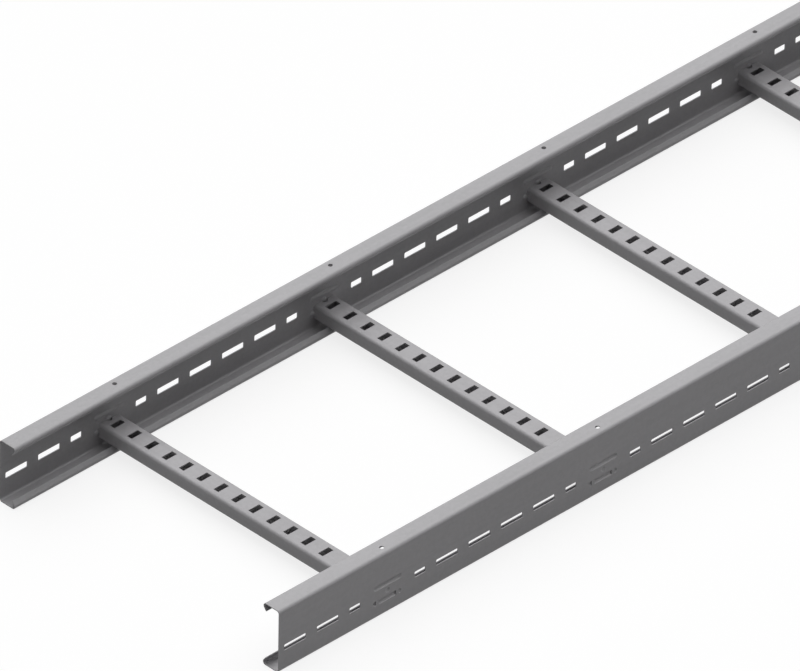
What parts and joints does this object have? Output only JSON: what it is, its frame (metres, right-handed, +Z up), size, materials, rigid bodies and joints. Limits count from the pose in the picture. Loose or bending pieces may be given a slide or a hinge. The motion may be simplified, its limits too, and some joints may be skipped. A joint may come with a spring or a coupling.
{
  "type": "cable ladder section",
  "caption": "Straight cable ladder section: slotted, lipped C-section side rails of folded galvanised sheet joined by evenly spaced slotted channel rungs.",
  "frame": {"origin": "midway between the side rails and midway along them, in the plane the bottom flanges rest on", "axes": "+X along the ladder, +Y across it from the right rail to the left rail, +Z up towards the side the cables lie on"},
  "size_m": [3, 0.402, 0.075],
  "materials": {
    "rail_steel": "dull pre-galvanised zinc",
    "rung_steel": "dull pre-galvanised zinc"
  },
  "bodies": {
    "root": {"side_rail_left": "rail_steel", "side_rail_right": "rail_steel", "rung_01": "rung_steel", "rung_02": "rung_steel", "rung_03": "rung_steel", "rung_04": "rung_steel", "rung_05": "rung_steel", "rung_06": "rung_steel", "rung_07": "rung_steel", "rung_08": "rung_steel", "rung_09": "rung_steel", "rung_10": "rung_steel"}
  },
  "joints": []
}
